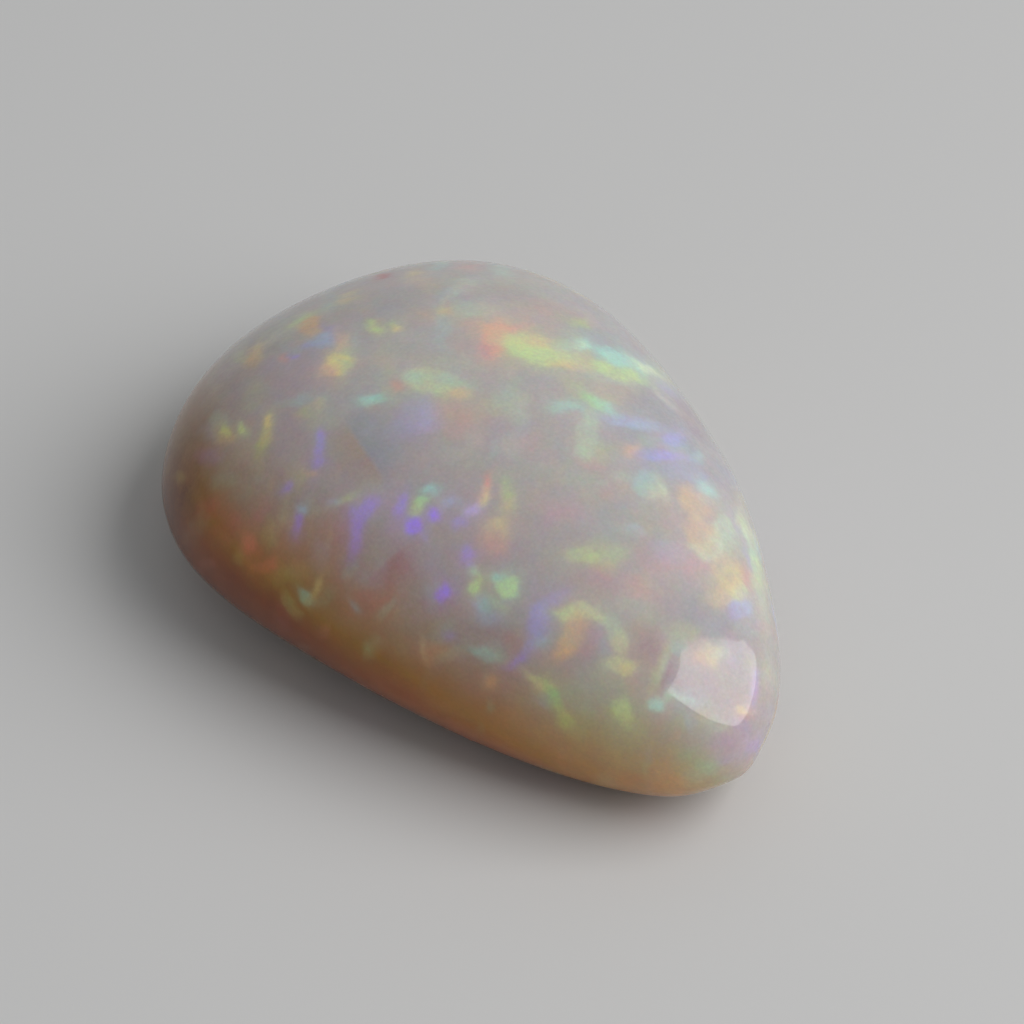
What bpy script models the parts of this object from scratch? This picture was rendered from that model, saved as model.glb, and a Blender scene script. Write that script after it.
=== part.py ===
"""Polished freeform opal, one stone 30 mm long.

The stone is a domed drop with a wide end and a narrow end. Its crown leans a little towards
the narrow end, a few soft flats were left by polishing, and the back is ground flat, so it
rests on it. Metres, +Z up, +X towards the narrow end. The origin is under the middle of the
stone's box, in the plane of the flat back.
"""

import math

import bmesh
import bpy
from mathutils import Vector

MM = 0.001

# Driving dimensions
HALF_LENGTH = 15.0 * MM
HALF_WIDTH = 9.65 * MM
CROWN_HEIGHT = 7.15 * MM
KEEL_DEPTH = 5.2 * MM
GIRDLE_HEIGHT = 3.6 * MM

# Share of the width and of the height that is lost from the middle to the narrow end
WIDTH_TAPER = 0.38
HEIGHT_TAPER = 0.05
# How far each end bends sideways, and how far the top of the crown leans
END_BEND = -0.8 * MM
CROWN_LEAN_ALONG = 1.2 * MM
CROWN_LEAN_ACROSS = 0.15 * MM
# 2 makes the cross-section an ellipse, and more makes it fuller
SECTION_FULLNESS = 2.12

# Soft flats left by polishing: which way each one faces (azimuth from +X, elevation, in
# degrees), its distance from the middle of the girdle, and how soft its edge is
POLISH_FLATS = {
    "narrow end, front": (0, 54, 10.5 * MM, 0.25 * MM),
    "narrow end, far side": (29, -20, 12.25 * MM, 0.12 * MM),
    "narrow end, under": (-11, -41, 11.55 * MM, 0.15 * MM),
    "far flank": (58, 8, 9.8 * MM, 0.25 * MM),
    "far shoulder": (76, 24, 9.35 * MM, 0.5 * MM),
    "near belly": (-79, -38, 7.85 * MM, 0.8 * MM),
    "wide end, top": (170, 48, 12.0 * MM, 0.9 * MM),
}

# The back is pressed flat a little below the cut, so that the cut's edge is rounded
BACK_PRESS_DEPTH = 0.15 * MM
BACK_EDGE_SOFTNESS = 0.45 * MM

SPHERE_SUBDIVISIONS = 5
MERGE_DISTANCE = 0.02 * MM
SHARP_ANGLE = math.radians(35)

STONE_COLOUR = (0.36, 0.31, 0.30, 1.0)
STONE_ROUGHNESS = 0.1


def remove_scene_objects():
    for scene_object in list(bpy.data.objects):
        bpy.data.objects.remove(scene_object, do_unlink=True)


def fuller_section(across, up):
    """Moves a point of the round cross-section out towards a fuller oval."""
    radius = math.hypot(across, up)
    if radius == 0.0:
        return across, up
    cosine = across / radius
    sine = up / radius
    n = SECTION_FULLNESS
    reach = (abs(cosine) ** n + abs(sine) ** n) ** (-1.0 / n)
    return across * reach, up * reach


def stone_point(along, across, up):
    """The stone's point for a point of the unit sphere, before the flats."""
    across, up = fuller_section(across, up)
    height = CROWN_HEIGHT if up > 0.0 else KEEL_DEPTH
    rise = height * up * (1.0 - HEIGHT_TAPER * along)
    lean = max(rise, 0.0) / CROWN_HEIGHT
    x = HALF_LENGTH * along + CROWN_LEAN_ALONG * lean
    y = HALF_WIDTH * across * (1.0 - WIDTH_TAPER * along)
    y += END_BEND * along ** 3 + CROWN_LEAN_ACROSS * lean
    return Vector((x, y, GIRDLE_HEIGHT + rise))


def facing(azimuth_degrees, elevation_degrees):
    """Unit vector that points the given way."""
    azimuth = math.radians(azimuth_degrees)
    elevation = math.radians(elevation_degrees)
    flat = math.cos(elevation)
    return Vector((flat * math.cos(azimuth), flat * math.sin(azimuth), math.sin(elevation)))


def press(point, normal, distance, softness):
    """Presses a point back to a plane, easing into it over the softness."""
    excess = (point.dot(normal) - distance) / softness
    eased = max(excess, 0.0) + math.log1p(math.exp(-abs(excess)))
    return point - normal * (softness * eased)


def press_flats(point):
    girdle_centre = Vector((0.0, 0.0, GIRDLE_HEIGHT))
    for azimuth, elevation, distance, softness in POLISH_FLATS.values():
        normal = facing(azimuth, elevation)
        point = press(point, normal, distance + normal.dot(girdle_centre), softness)
    return press(point, Vector((0.0, 0.0, -1.0)), BACK_PRESS_DEPTH, BACK_EDGE_SOFTNESS)


def cut_flat_back(shape):
    """Cuts the stone off at z = 0 and closes the cut with one flat face."""
    everything = shape.verts[:] + shape.edges[:] + shape.faces[:]
    cut = bmesh.ops.bisect_plane(
        shape,
        geom=everything,
        dist=MERGE_DISTANCE,
        plane_co=(0.0, 0.0, 0.0),
        plane_no=(0.0, 0.0, 1.0),
        clear_inner=True,
    )
    rim = [part for part in cut["geom_cut"] if isinstance(part, bmesh.types.BMEdge)]
    bmesh.ops.contextual_create(shape, geom=rim)
    for edge in rim:
        for vertex in edge.verts:
            vertex.co.z = 0.0


def centre_on_origin(shape):
    for axis in (0, 1):
        values = [vertex.co[axis] for vertex in shape.verts]
        middle = (min(values) + max(values)) / 2.0
        for vertex in shape.verts:
            vertex.co[axis] -= middle


def stone_material():
    material = bpy.data.materials.new("polished_opal_stone")
    material.use_nodes = True
    surface = material.node_tree.nodes["Principled BSDF"]
    surface.inputs["Base Color"].default_value = STONE_COLOUR
    surface.inputs["Roughness"].default_value = STONE_ROUGHNESS
    surface.inputs["Metallic"].default_value = 0.0
    return material


def make_opal(collection):
    shape = bmesh.new()
    bmesh.ops.create_icosphere(shape, subdivisions=SPHERE_SUBDIVISIONS, radius=1.0)
    for vertex in shape.verts:
        vertex.co = press_flats(stone_point(*vertex.co.normalized()))
    cut_flat_back(shape)
    centre_on_origin(shape)
    bmesh.ops.recalc_face_normals(shape, faces=shape.faces[:])
    mesh = bpy.data.meshes.new("opal")
    shape.to_mesh(mesh)
    shape.free()
    mesh.shade_smooth()
    mesh.set_sharp_from_angle(angle=SHARP_ANGLE)
    mesh.materials.append(stone_material())
    opal = bpy.data.objects.new("opal", mesh)
    collection.objects.link(opal)
    return opal


def main():
    remove_scene_objects()
    collection = bpy.data.collections.new("polished_opal")
    bpy.context.scene.collection.children.link(collection)
    make_opal(collection)


main()
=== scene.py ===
"""Polished freeform opal, finished for display on a plain pale floor.

The stone's form follows the same formula as the solid it replaces, on a finer surface.
Its colours are painted into the surface: a milky body, turned amber and darker by painted shade on the
low side and at the wide end, a few patches of painted shade and painted light, soft clouds, and flashes
of spectral colour that lie where the real stone shows them.
Metres, +Z up, +X towards the narrow end.
"""

import itertools
import math

import bmesh
import bpy
import numpy as np
from mathutils import Matrix, Vector


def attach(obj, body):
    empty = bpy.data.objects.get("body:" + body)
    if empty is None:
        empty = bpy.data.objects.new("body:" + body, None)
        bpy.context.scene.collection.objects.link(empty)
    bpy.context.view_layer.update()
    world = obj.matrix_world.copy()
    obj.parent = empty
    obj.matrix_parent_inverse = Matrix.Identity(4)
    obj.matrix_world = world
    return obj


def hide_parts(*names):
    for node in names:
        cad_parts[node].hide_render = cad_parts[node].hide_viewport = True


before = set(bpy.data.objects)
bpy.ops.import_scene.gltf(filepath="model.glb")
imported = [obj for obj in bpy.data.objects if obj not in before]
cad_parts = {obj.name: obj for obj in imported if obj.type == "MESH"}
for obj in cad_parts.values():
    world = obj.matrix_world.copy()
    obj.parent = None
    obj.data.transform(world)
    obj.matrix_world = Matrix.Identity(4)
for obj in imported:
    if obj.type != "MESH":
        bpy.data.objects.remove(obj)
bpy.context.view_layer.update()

bl_info = {
    "name": "Polished freeform opal",
    "version": (1, 0, 0),
    "blender": (4, 5, 0),
    "location": "View3D > Sidebar > Opal",
    "description": "Models, colours and stages a polished freeform opal",
    "category": "Add Mesh",
}

MM = 0.001
UP = np.array((0.0, 0.0, 1.0))

# The stone's form, the same sizes as the solid's
HALF_LENGTH = 15.0 * MM
HALF_WIDTH = 9.65 * MM
CROWN_HEIGHT = 7.15 * MM
KEEL_DEPTH = 5.2 * MM
GIRDLE_HEIGHT = 3.6 * MM
WIDTH_TAPER = 0.38
HEIGHT_TAPER = 0.05
END_BEND = -0.8 * MM
CROWN_LEAN_ALONG = 1.2 * MM
CROWN_LEAN_ACROSS = 0.15 * MM
SECTION_FULLNESS = 2.12

# Soft polish flats: azimuth and elevation they face, distance from the middle of the
# girdle, softness of the edge
POLISH_FLATS = (
    (0, 54, 10.5 * MM, 0.25 * MM),
    (29, -20, 12.25 * MM, 0.12 * MM),
    (-11, -41, 11.55 * MM, 0.15 * MM),
    (58, 8, 9.8 * MM, 0.25 * MM),
    (76, 24, 9.35 * MM, 0.5 * MM),
    (-79, -38, 7.85 * MM, 0.8 * MM),
    (170, 48, 12.0 * MM, 0.9 * MM),
)
BACK_PRESS_DEPTH = 0.15 * MM
BACK_EDGE_SOFTNESS = 0.45 * MM

# The side the stone is shown from, and the eye's distance from the middle of its face
FACE_CENTRE = np.array((-0.05, -0.11, 5.0)) * MM
FACE_AZIMUTH = -40
FACE_ELEVATION = 45
EYE_DISTANCE = 0.3
# How much closer the surface's points stand on the face than on the other sides
FACE_SHARE = 0.35
POLISH_WAVE_SEED = 11


def linear(hex_colour):
    """Linear RGBA of an sRGB hex colour."""
    channels = [int(hex_colour[i:i + 2], 16) / 255 for i in (1, 3, 5)]
    return [c / 12.92 if c <= 0.04045 else ((c + 0.055) / 1.055) ** 2.4 for c in channels] + [1.0]


def facing(azimuth_degrees, elevation_degrees):
    """Unit vector that points the given way, azimuth from +X."""
    azimuth = math.radians(azimuth_degrees)
    elevation = math.radians(elevation_degrees)
    flat = math.cos(elevation)
    return np.array((flat * math.cos(azimuth), flat * math.sin(azimuth), math.sin(elevation)))


def axes_facing(azimuth_degrees, elevation_degrees):
    """Right, up and towards, as the stone is seen from the given way."""
    towards = facing(azimuth_degrees, elevation_degrees)
    right = np.cross(UP, towards)
    right /= np.linalg.norm(right)
    return right, np.cross(towards, right), towards


def face_axes():
    """Right, up and towards the eye, as the stone's face is seen."""
    return axes_facing(FACE_AZIMUTH, FACE_ELEVATION)


class OpalShapeSettings(bpy.types.PropertyGroup):
    """Sizes of the stone's surface."""

    cuts: bpy.props.IntProperty(
        name="Surface cuts",
        description="How finely each side of the round cube is cut",
        default=126,
        min=8,
        max=127,
    )
    wave_height: bpy.props.FloatProperty(
        name="Polish wave height",
        description="Height of the slight waves that hand polishing leaves",
        default=0.006 * MM,
        unit="LENGTH",
        precision=6,
    )
    wave_length: bpy.props.FloatProperty(
        name="Polish wave length",
        description="Distance between two polish waves",
        default=4.0 * MM,
        unit="LENGTH",
        precision=4,
    )


class OpalStageSettings(bpy.types.PropertyGroup):
    """Floor and light around the stone."""

    floor_colour: bpy.props.FloatVectorProperty(
        name="Floor",
        description="Colour of the plain floor",
        default=linear("#d8d6d2"),
        size=4,
        subtype="COLOR",
    )
    window_radiance: bpy.props.FloatProperty(
        name="Window brightness",
        description="Brightness of the window that the polish reflects",
        default=4.2,
    )
    sky_strength: bpy.props.FloatProperty(
        name="Room light",
        description="Strength of the even light of the room",
        default=0.31,
    )


def new_node(tree, kind, links=None, **settings):
    """Adds a node, sets its properties or inputs by name, and links its inputs."""
    node = tree.nodes.new(kind)
    for name, value in settings.items():
        if hasattr(node, name):
            setattr(node, name, value)
        else:
            node.inputs[name.replace("_", " ")].default_value = value
    for name, source in (links or {}).items():
        tree.links.new(source, node.inputs[name])
    return node


def mesh_from(shape, name):
    """Turns a finished shape into a mesh of the given name."""
    mesh = bpy.data.meshes.new(name)
    shape.to_mesh(mesh)
    shape.free()
    return mesh


def add_object(name, data):
    """Adds an object with the given data to the scene."""
    thing = bpy.data.objects.new(name, data)
    bpy.context.scene.collection.objects.link(thing)
    return thing


def soft_noise(points, size, seed):
    """Smooth noise between -1 and 1 at each point, with spots of the given size."""
    lattice_size = 64
    lattice = np.random.default_rng(seed).uniform(-1, 1, (lattice_size,) * 3)
    cell = points / size + lattice_size
    base = np.floor(cell).astype(int)
    share = cell - base
    share = share * share * (3 - 2 * share)
    total = np.zeros(len(points))
    for corner in itertools.product((0, 1), repeat=3):
        weight = np.prod(np.where(corner, share, 1 - share), axis=1)
        x, y, z = ((base + corner) % lattice_size).T
        total += weight * lattice[x, y, z]
    return total


def fuller_section(across, up):
    """Moves a round section's points out a little towards its four corners."""
    radius = np.hypot(across, up)
    angle = np.arctan2(up, across)
    n = SECTION_FULLNESS
    reach = (np.abs(np.cos(angle)) ** n + np.abs(np.sin(angle)) ** n) ** (-1 / n)
    return radius * reach * np.cos(angle), radius * reach * np.sin(angle)


def stone_points(sphere):
    """The stone's points for points of the unit sphere, before the flats."""
    along, across, up = sphere.T
    across, up = fuller_section(across, up)
    rise = np.where(up > 0, CROWN_HEIGHT, KEEL_DEPTH) * up * (1 - HEIGHT_TAPER * along)
    lean = np.maximum(rise, 0) / CROWN_HEIGHT
    x = HALF_LENGTH * along + CROWN_LEAN_ALONG * lean
    y = HALF_WIDTH * across * (1 - WIDTH_TAPER * along)
    y += END_BEND * along ** 3 + CROWN_LEAN_ACROSS * lean
    return np.stack((x, y, GIRDLE_HEIGHT + rise), axis=1)


def press(points, normal, distance, softness):
    """Presses the points back to a plane, easing into it over the softness."""
    excess = (points @ normal - distance) / softness
    return points - np.outer(softness * np.logaddexp(0, excess), normal)


def press_flats(points):
    """Presses the soft polish flats and the flat back into the stone."""
    girdle_centre = GIRDLE_HEIGHT * UP
    for azimuth, elevation, distance, softness in POLISH_FLATS:
        normal = facing(azimuth, elevation)
        points = press(points, normal, distance + normal @ girdle_centre, softness)
    points = press(points, -UP, BACK_PRESS_DEPTH, BACK_EDGE_SOFTNESS)
    points[:, 2] = np.maximum(points[:, 2], 0)
    return points


def centred(points):
    """Moves the stone's middle to the origin, as seen from above."""
    middle = (points.min(axis=0) + points.max(axis=0)) / 2
    middle[2] = 0
    return points - middle


def even_cube_sphere(cuts):
    """Mesh of a cube cut finely, and its points moved out to the unit sphere."""
    shape = bmesh.new()
    bmesh.ops.create_cube(shape, size=2.0)
    bmesh.ops.subdivide_edges(shape, edges=shape.edges[:], cuts=cuts, use_grid_fill=True)
    mesh = mesh_from(shape, "polished_opal")
    cube = np.empty(len(mesh.vertices) * 3)
    mesh.vertices.foreach_get("co", cube)
    sphere = np.tan(cube.reshape(-1, 3) * math.pi / 4)
    sphere /= np.linalg.norm(sphere, axis=1, keepdims=True)
    sphere += FACE_SHARE * face_axes()[2]
    return mesh, sphere / np.linalg.norm(sphere, axis=1, keepdims=True)


def make_stone_mesh(shape_settings):
    """The stone's smooth mesh, and its points."""
    mesh, sphere = even_cube_sphere(shape_settings.cuts)
    wave = soft_noise(stone_points(sphere), shape_settings.wave_length, POLISH_WAVE_SEED)
    points = stone_points(sphere) + shape_settings.wave_height * wave[:, None] * sphere
    points = centred(press_flats(points))
    mesh.vertices.foreach_set("co", points.ravel())
    mesh.update()
    mesh.shade_smooth()
    return mesh, points


# Colours of the stone: its milky body, and the play of colour as it shows over that body, and a few
# colours of painted shade and painted light
MILKY_BODY = "#bfb5b2"
PALETTE = {
    "coral": "#f0b4a8",
    "orange": "#e8c7a1",
    "gold": "#e8d9a7",
    "bright gold": "#f8e8a6",
    "light orange": "#f0d2b4",
    "peach": "#dcc7ae",
    "salmon": "#dcb6aa",
    "yellow": "#e5f3ad",
    "lime": "#d5e2ac",
    "pale lime": "#dadeb8",
    "olive": "#cedb9e",
    "green": "#bce5ab",
    "bright green": "#d0ecba",
    "pale green": "#cad6be",
    "mint": "#cae0c9",
    "aqua": "#c8ecdc",
    "teal": "#bae3d7",
    "cyan": "#bfe0d4",
    "blue": "#c4cee5",
    "sky": "#bccfe4",
    "periwinkle": "#bcb4e0",
    "violet": "#c0acf2",
    "bright violet": "#c0a6fd",
    "pale violet": "#d4c0e4",
    "lavender": "#c2b6d6",
    "spark": "#f2f6d0",
    "pink": "#e0a3af",
    "maroon": "#a8787e",
    "brick": "#cc8a88",
    "mauve": "#c0a8b0",
    # Painted shade: amber and brown for the low rim and the wide end
    "shade honey": "#dab884",
    "shade umber": "#856135",
    "shade bronze": "#9a6634",
    "rust": "#e4a06c",
    "cream": "#d8d8c2",
    "slate": "#a2acb2",
    "tan": "#b8a48a",
    "ice blue": "#bcf0ff",
    # Painted shade and painted light: a darker, cooler milk and a lighter milk
    "painted shade milk": "#aaa6ae",
    "painted light milk": "#c9c0bc",
}

# Soft patches under the flashes, a few of them painted shade and painted light: right and up of the
# middle of the face, length, width, all in millimetres, turn in degrees, colours along the length,
# strength
HAZES = (
    # Painted shade: a cool, darker cloud that dims the far side near the narrow end
    (6.8, 3.0, 8.0, 3.6, -55, "painted shade milk", 0.6),
    # Painted shade: amber along the low rim, as light that has passed through the stone comes out there
    (4.5, -9.6, 8.0, 2.6, -14, "shade honey", 0.5),
    (7.0, -10.4, 5.0, 1.2, -10, "shade honey", 0.35),
    (-1.5, -8.0, 6.5, 1.8, -24, "shade honey", 0.4),
    # Painted shade: umber at the wide end and bronze on its low side, away from the window
    (-12.9, 1.0, 7.6, 2.2, 82, "shade umber", 0.85),
    (-9.7, -3.6, 7.0, 1.8, -38, "shade bronze", 0.6),
    (4.6, -7.9, 6.0, 3.0, -12, "olive", 0.3),
    (8.6, -10.0, 2.6, 1.6, 20, "mint", 0.35),
    # Painted light: a lighter cloud over the top of the wide end
    (-5.6, 7.0, 12.0, 5.0, 24, "painted light milk", 0.85),
    (-7.9, 5.4, 2.6, 1.4, 40, "mauve", 0.3),
    (-9.0, 6.9, 2.0, 0.9, 35, "slate to mint", 0.3),
    (-2.9, 8.9, 1.4, 0.7, -30, "peach", 0.35),
    (-1.9, 6.1, 1.3, 0.7, 0, "pale green", 0.25),
    (-4.6, 5.9, 1.0, 0.6, 0, "peach", 0.3),
    (2.0, 7.8, 2.6, 0.6, -14, "peach", 0.25),
    (-1.9, 8.6, 2.0, 0.5, 28, "sky", 0.2),
    (-6.5, -0.7, 1.8, 1.2, 70, "brick", 0.25),
    (-4.3, -2.4, 2.4, 1.2, 48, "brick", 0.25),
    (-4.9, -3.3, 1.2, 1.0, 0, "brick", 0.3),
    (-11.3, 0.25, 1.0, 0.8, 0, "pink", 0.3),
    (-0.6, -4.3, 1.2, 0.7, 0, "maroon", 0.15),
    (0.4, -5.0, 1.2, 0.8, 90, "brick", 0.4),
    (5.5, -5.0, 1.8, 1.2, 90, "maroon", 0.25),
    (6.3, -6.2, 1.2, 0.25, 62, "maroon", 0.3),
    (5.2, -3.1, 1.7, 1.3, -90, "peach to pale green", 0.35),
    (3.1, -6.8, 1.6, 1.2, 0, "pale green", 0.3),
    (7.6, -3.9, 2.2, 1.6, 0, "slate", 0.4),
    (6.6, -1.7, 2.2, 1.4, 0, "pink", 0.25),
    (7.5, -2.0, 0.8, 0.7, 0, "pink", 0.35),
    (2.5, 0.3, 2.0, 1.0, 0, "pink", 0.2),
    (7.3, 3.7, 1.5, 0.6, -50, "maroon", 0.2),
    (-1.7, 3.75, 1.8, 1.2, 0, "salmon", 0.5),
    (-0.25, -0.8, 1.35, 1.1, 80, "salmon to peach", 0.7),
    (-3.4, 3.75, 1.5, 1.1, 60, "violet", 0.27),
    (-2.75, 3.85, 1.0, 0.7, 60, "pale violet", 0.3),
    (-7.75, 4.45, 1.7, 0.4, 8, "teal", 0.35),
    (-11.3, 3.2, 0.8, 0.6, 0, "blue", 0.35),
    (-10.9, 3.7, 0.8, 0.6, 0, "aqua", 0.4),
    (-10.8, 1.35, 0.9, 0.7, 0, "teal", 0.25),
    (-12.3, 1.5, 0.45, 0.4, 0, "olive", 0.35),
    (-8.2, -2.2, 1.4, 1.0, 0, "olive", 0.45),
    (-7.0, 3.8, 1.4, 0.8, 10, "olive", 0.32),
    (-0.15, 4.1, 1.1, 0.7, 0, "olive", 0.25),
    (3.9, 2.5, 1.5, 0.6, 0, "olive", 0.25),
    (-11.3, 2.3, 0.8, 0.6, 0, "violet", 0.3),
    (-5.1, -2.4, 0.9, 0.6, 0, "blue", 0.35),
    (-2.55, -5.25, 1.0, 0.8, 0, "orange", 0.45),
    (-0.9, -3.4, 0.9, 0.7, 0, "blue to teal", 0.6),
    (-0.5, -3.9, 0.9, 0.5, 0, "blue", 0.4),
    (1.85, -3.2, 1.2, 0.5, 30, "periwinkle", 0.5),
    (4.2, 4.75, 1.5, 1.1, 0, "peach", 0.35),
    (8.8, -8.8, 2.0, 0.9, 0, "pale violet", 0.25),
    (7.6, -9.4, 1.5, 1.0, 0, "green to olive", 0.4),
    (6.8, -10.0, 1.8, 0.8, 0, "orange", 0.45),
    (8.5, -8.7, 1.2, 0.9, 0, "mauve", 0.35),
    (6.05, -5.9, 2.2, 0.45, 72, "olive", 0.4),
    (-0.9, 7.85, 2.2, 0.6, 0, "pale green", 0.6),
    (0.0, 9.5, 1.2, 0.4, 0, "slate", 0.3),
    (-1.4, 8.95, 1.0, 0.25, 10, "cream", 0.4),
)

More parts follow.
